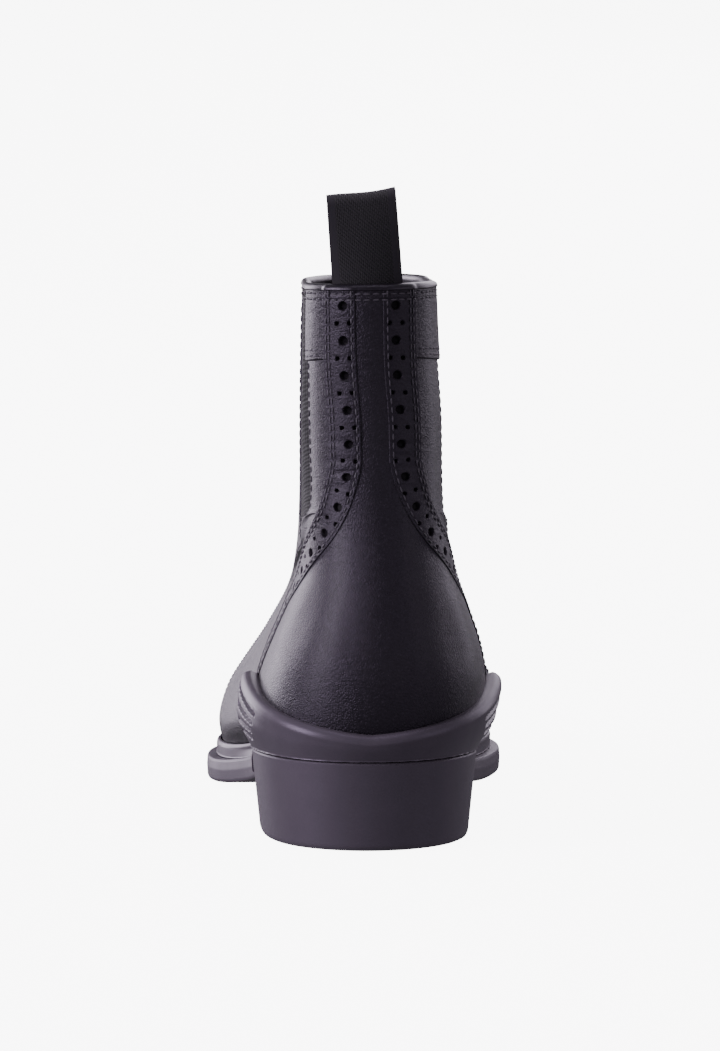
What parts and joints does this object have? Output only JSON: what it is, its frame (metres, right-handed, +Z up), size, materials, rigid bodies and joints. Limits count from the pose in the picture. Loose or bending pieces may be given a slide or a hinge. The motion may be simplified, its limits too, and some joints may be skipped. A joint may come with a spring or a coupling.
{
  "type": "paddock boot",
  "caption": "Ankle-high leather riding boot for the left foot, with elastic gores, punched bands beside the back seam, a rear pull loop and a moulded rubber sole with a block heel.",
  "frame": {"origin": "on the floor, under the middle of the boot's length and width", "axes": "+Y from heel to toe, +X to the inner side of the foot, +Z up from the floor"},
  "size_m": [0.0994, 0.283, 0.2001],
  "materials": {
    "leather": "fine-grained black leather, satin",
    "counter_leather": "pebbled black leather, polished satin",
    "band_leather": "smooth black leather with punched holes",
    "elastic": "ribbed black elastic",
    "webbing": "twill-woven black webbing with plain borders",
    "rubber": "moulded black rubber, satin",
    "outsole_rubber": "moulded black rubber, matte satin",
    "heel_rubber": "moulded black rubber, matte satin",
    "lining": "matte black lining cloth"
  },
  "bodies": {
    "root": {"upper": "leather", "counter": "counter_leather", "punched_band_inner": "band_leather", "punched_band_outer": "band_leather", "collar_facing_inner": "leather", "collar_facing_outer": "leather", "toe_cap": "leather", "gore_inner": "elastic", "gore_outer": "elastic", "pull_loop": "webbing", "rand": "rubber", "outsole": "outsole_rubber", "heel": "heel_rubber", "insole": "lining"}
  },
  "joints": []
}
